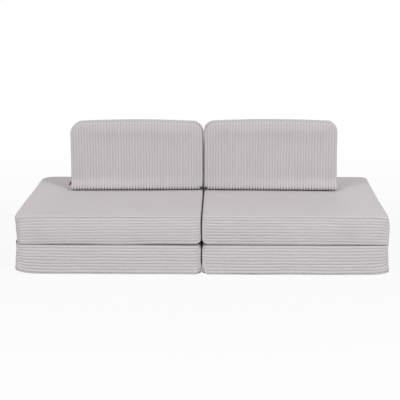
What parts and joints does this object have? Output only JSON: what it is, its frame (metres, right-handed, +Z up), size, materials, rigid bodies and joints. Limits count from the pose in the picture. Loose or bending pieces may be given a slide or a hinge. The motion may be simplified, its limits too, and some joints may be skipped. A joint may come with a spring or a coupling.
{
  "type": "modular sofa",
  "caption": "Low floor sofa: two square foam mats folded double side by side, with two loose upright back cushions in wide-wale corduroy and zips at the rear.",
  "frame": {"origin": "on the floor, under the middle of the whole sofa", "axes": "+Z up, -Y to the front where the seat's ribbed edge faces the viewer, +X to the viewer's right"},
  "size_m": [1.6006, 0.8034, 0.5732],
  "materials": {
    "corduroy": "matte",
    "velour": "matte",
    "foam": "matte",
    "zip_tape": "matte",
    "zip_metal": "satin",
    "tag": "matte"
  },
  "bodies": {
    "upper_left": {"upper_left_foam": "foam", "upper_left_bottom_panel": "velour", "upper_left_top_panel": "velour", "upper_left_boxing": "corduroy", "upper_left_zip_top_tape": "zip_tape", "upper_left_zip_bottom_tape": "zip_tape", "left_hinge_strip": "corduroy"},
    "lower_left": {"lower_left_foam": "foam", "lower_left_bottom_panel": "velour", "lower_left_top_panel": "velour", "lower_left_boxing": "corduroy", "lower_left_zip_top_tape": "zip_tape", "lower_left_zip_bottom_tape": "zip_tape"},
    "upper_right": {"upper_right_foam": "foam", "upper_right_bottom_panel": "velour", "upper_right_top_panel": "velour", "upper_right_boxing": "corduroy", "upper_right_zip_top_tape": "zip_tape", "upper_right_zip_bottom_tape": "zip_tape", "right_hinge_strip": "corduroy"},
    "lower_right": {"lower_right_foam": "foam", "lower_right_bottom_panel": "velour", "lower_right_top_panel": "velour", "lower_right_boxing": "corduroy", "lower_right_zip_top_tape": "zip_tape", "lower_right_zip_bottom_tape": "zip_tape"},
    "left_cushion": {"left_cushion_foam": "foam", "left_cushion_boxing": "corduroy", "left_cushion_front_panel": "corduroy", "left_cushion_rear_panel": "corduroy", "left_cushion_zip_top_tape": "zip_tape", "left_cushion_zip_bottom_tape": "zip_tape", "left_cushion_tag": "tag"},
    "right_cushion": {"right_cushion_foam": "foam", "right_cushion_boxing": "corduroy", "right_cushion_front_panel": "corduroy", "right_cushion_rear_panel": "corduroy", "right_cushion_zip_top_tape": "zip_tape", "right_cushion_zip_bottom_tape": "zip_tape"},
    "upper_left_slider": {"upper_left_zip_slider": "zip_metal"},
    "upper_left_pull": {"upper_left_zip_pull": "zip_metal"},
    "lower_left_slider": {"lower_left_zip_slider": "zip_metal"},
    "lower_left_pull": {"lower_left_zip_pull": "zip_metal"},
    "upper_right_slider": {"upper_right_zip_slider": "zip_metal"},
    "upper_right_pull": {"upper_right_zip_pull": "zip_metal"},
    "lower_right_slider": {"lower_right_zip_slider": "zip_metal"},
    "lower_right_pull": {"lower_right_zip_pull": "zip_metal"},
    "left_cushion_slider": {"left_cushion_zip_slider": "zip_metal"},
    "left_cushion_pull": {"left_cushion_zip_pull": "zip_metal"},
    "right_cushion_slider": {"right_cushion_zip_slider": "zip_metal"},
    "right_cushion_pull": {"right_cushion_zip_pull": "zip_metal"}
  },
  "joints": [
    {"name": "left_fold", "type": "hinge", "parent": "upper_left", "child": "lower_left", "pos_m": [-0.8006, 0, 0.12745], "axis": [0, 1, 0], "range_deg": [0, 180], "deforming": ["left_hinge_strip"]},
    {"name": "modules_apart", "type": "slide", "parent": "upper_left", "child": "upper_right", "axis": [1, 0, 0], "range_m": [0, 0.3]},
    {"name": "right_fold", "type": "hinge", "parent": "upper_right", "child": "lower_right", "pos_m": [0.8006, 0, 0.12745], "axis": [0, -1, 0], "range_deg": [0, 180], "deforming": ["right_hinge_strip"]},
    {"name": "left_cushion_lift", "type": "slide", "parent": "upper_left", "child": "left_cushion", "axis": [0, 0, 1], "range_m": [0, 0.45]},
    {"name": "right_cushion_lift", "type": "slide", "parent": "upper_right", "child": "right_cushion", "axis": [0, 0, 1], "range_m": [0, 0.45]},
    {"name": "upper_left_zip_run", "type": "slide", "parent": "upper_left", "child": "upper_left_slider", "axis": [-1, 0, 0], "range_m": [0, 0.6064]},
    {"name": "upper_left_pull_swing", "type": "hinge", "parent": "upper_left_slider", "child": "upper_left_pull", "pos_m": [-0.0971, 0.4014, 0.1894], "axis": [0, 0, 1], "range_deg": [0, 180]},
    {"name": "lower_left_zip_run", "type": "slide", "parent": "lower_left", "child": "lower_left_slider", "axis": [-1, 0, 0], "range_m": [0, 0.6064]},
    {"name": "lower_left_pull_swing", "type": "hinge", "parent": "lower_left_slider", "child": "lower_left_pull", "pos_m": [-0.0971, 0.4014, 0.0655], "axis": [0, 0, 1], "range_deg": [0, 180]},
    {"name": "upper_right_zip_run", "type": "slide", "parent": "upper_right", "child": "upper_right_slider", "axis": [1, 0, 0], "range_m": [0, 0.6064]},
    {"name": "upper_right_pull_swing", "type": "hinge", "parent": "upper_right_slider", "child": "upper_right_pull", "pos_m": [0.0971, 0.4014, 0.1894], "axis": [0, 0, -1], "range_deg": [0, 180]},
    {"name": "lower_right_zip_run", "type": "slide", "parent": "lower_right", "child": "lower_right_slider", "axis": [1, 0, 0], "range_m": [0, 0.6064]},
    {"name": "lower_right_pull_swing", "type": "hinge", "parent": "lower_right_slider", "child": "lower_right_pull", "pos_m": [0.0971, 0.4014, 0.0655], "axis": [0, 0, -1], "range_deg": [0, 180]},
    {"name": "left_cushion_zip_run", "type": "slide", "parent": "left_cushion", "child": "left_cushion_slider", "axis": [-1, 0, 0], "range_m": [0, 0.4364]},
    {"name": "left_cushion_pull_swing", "type": "hinge", "parent": "left_cushion_slider", "child": "left_cushion_pull", "pos_m": [-0.0886, 0.2, 0.2852], "axis": [0, 0, 1], "range_deg": [0, 180]},
    {"name": "right_cushion_zip_run", "type": "slide", "parent": "right_cushion", "child": "right_cushion_slider", "axis": [1, 0, 0], "range_m": [0, 0.4364]},
    {"name": "right_cushion_pull_swing", "type": "hinge", "parent": "right_cushion_slider", "child": "right_cushion_pull", "pos_m": [0.0886, 0.2, 0.2852], "axis": [0, 0, -1], "range_deg": [0, 180]}
  ]
}
